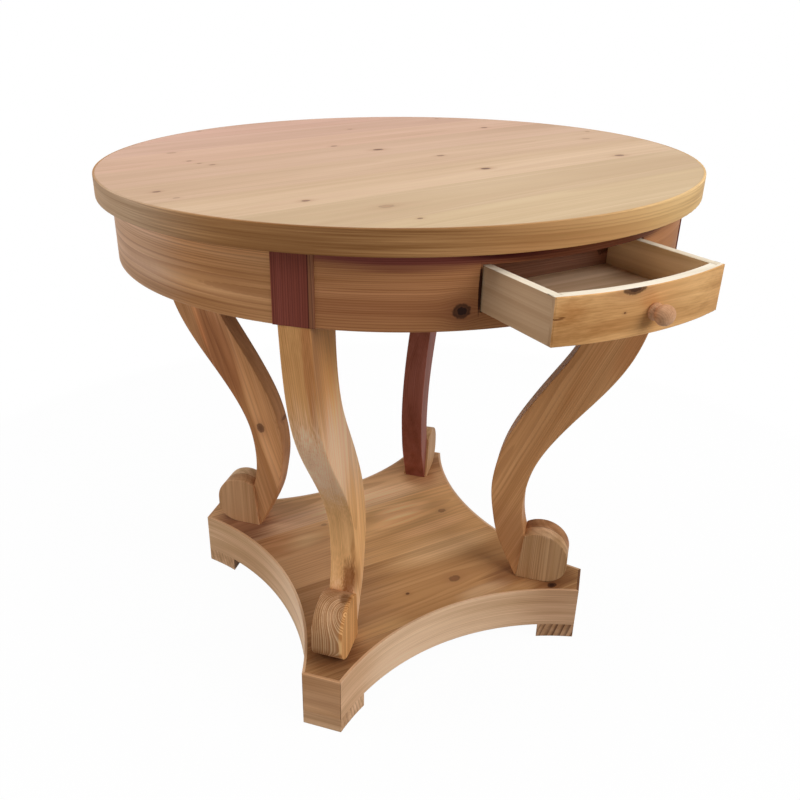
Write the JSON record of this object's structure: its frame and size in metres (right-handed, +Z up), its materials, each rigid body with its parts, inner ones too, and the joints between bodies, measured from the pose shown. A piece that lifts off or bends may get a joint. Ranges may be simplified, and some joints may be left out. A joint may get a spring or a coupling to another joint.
{
  "type": "tavern table",
  "caption": "Round wooden tavern table on S-curved scroll legs and a hollow-sided plinth, with a curved drawer in its drum apron.",
  "frame": {"origin": "on the floor, under the middle of the round top", "axes": "+Z up, the drawer opens towards -Y, and the legs stand on the diagonals between X and Y"},
  "size_m": [0.8129, 0.9227, 0.76],
  "materials": {
    "top_pine": "clear satin lacquer over knotty pine",
    "top_edge_pine": "clear satin lacquer over bent pine lipping",
    "apron_pine": "clear satin lacquer over pine",
    "corner_block_heartwood": "clear satin lacquer over red heartwood",
    "leg_pine": "clear satin lacquer over pine",
    "scroll_pine": "clear satin lacquer over laminated pine",
    "plinth_pine": "clear satin lacquer over knotty pine",
    "plinth_facing_pine": "clear satin lacquer over bent pine facing",
    "foot_pine": "clear satin lacquer over pine",
    "drawer_front_pine": "clear satin lacquer over knotty pine",
    "knob_pine": "clear satin lacquer over turned pine",
    "drawer_birch": "bare birch plywood",
    "drawer_back_pine": "bare pine",
    "runner_pine": "bare pine",
    "dowel_beech": "bare beech",
    "screw_steel": "zinc plated",
    "zinc_steel": "zinc plated"
  },
  "bodies": {
    "table": {"apron_back": "apron_pine", "apron_front": "apron_pine", "apron_left": "apron_pine", "apron_right": "apron_pine", "corner_block_back_left": "corner_block_heartwood", "corner_block_back_right": "corner_block_heartwood", "corner_block_front_left": "corner_block_heartwood", "corner_block_front_right": "corner_block_heartwood", "drawer_kicker": "runner_pine", "drawer_runner_left": "runner_pine", "drawer_runner_right": "runner_pine", "foot_back_left": "foot_pine", "foot_back_right": "foot_pine", "foot_front_left": "foot_pine", "foot_front_right": "foot_pine", "joint_dowels": "dowel_beech", "leg_back_left": "leg_pine", "leg_back_right": "leg_pine", "leg_bolts": "zinc_steel", "leg_front_left": "leg_pine", "leg_front_right": "leg_pine", "plinth_block_back_left": "foot_pine", "plinth_block_back_right": "foot_pine", "plinth_block_front_left": "foot_pine", "plinth_block_front_right": "foot_pine", "plinth_board_1_left": "plinth_pine", "plinth_board_1_right": "plinth_pine", "plinth_board_2": "plinth_pine", "plinth_board_3": "plinth_pine", "plinth_board_4": "plinth_pine", "plinth_corner_facing_back_left": "plinth_facing_pine", "plinth_corner_facing_back_right": "plinth_facing_pine", "plinth_corner_facing_front_left": "plinth_facing_pine", "plinth_corner_facing_front_right": "plinth_facing_pine", "plinth_facing_back": "plinth_facing_pine", "plinth_facing_front": "plinth_facing_pine", "plinth_facing_left": "plinth_facing_pine", "plinth_facing_right": "plinth_facing_pine", "scroll_back_left": "scroll_pine", "scroll_back_right": "scroll_pine", "scroll_front_left": "scroll_pine", "scroll_front_right": "scroll_pine", "top_board_1": "top_pine", "top_board_2": "top_pine", "top_board_3": "top_pine", "top_board_4": "top_pine", "top_board_5": "top_pine", "top_board_6": "top_pine", "top_board_7": "top_pine", "top_board_8": "top_pine", "top_edge_band": "top_edge_pine", "top_screws": "screw_steel", "wood_screws": "screw_steel"},
    "drawer": {"drawer_front": "drawer_front_pine", "drawer_side_left": "drawer_birch", "drawer_side_right": "drawer_birch", "drawer_back": "drawer_back_pine", "drawer_bottom": "drawer_birch", "drawer_knob": "knob_pine", "drawer_stop_block": "runner_pine"}
  },
  "joints": [
    {"name": "drawer_slide", "type": "slide", "parent": "table", "child": "drawer", "axis": [0, -1, 0], "range_m": [-0.108, 0.022]}
  ]
}
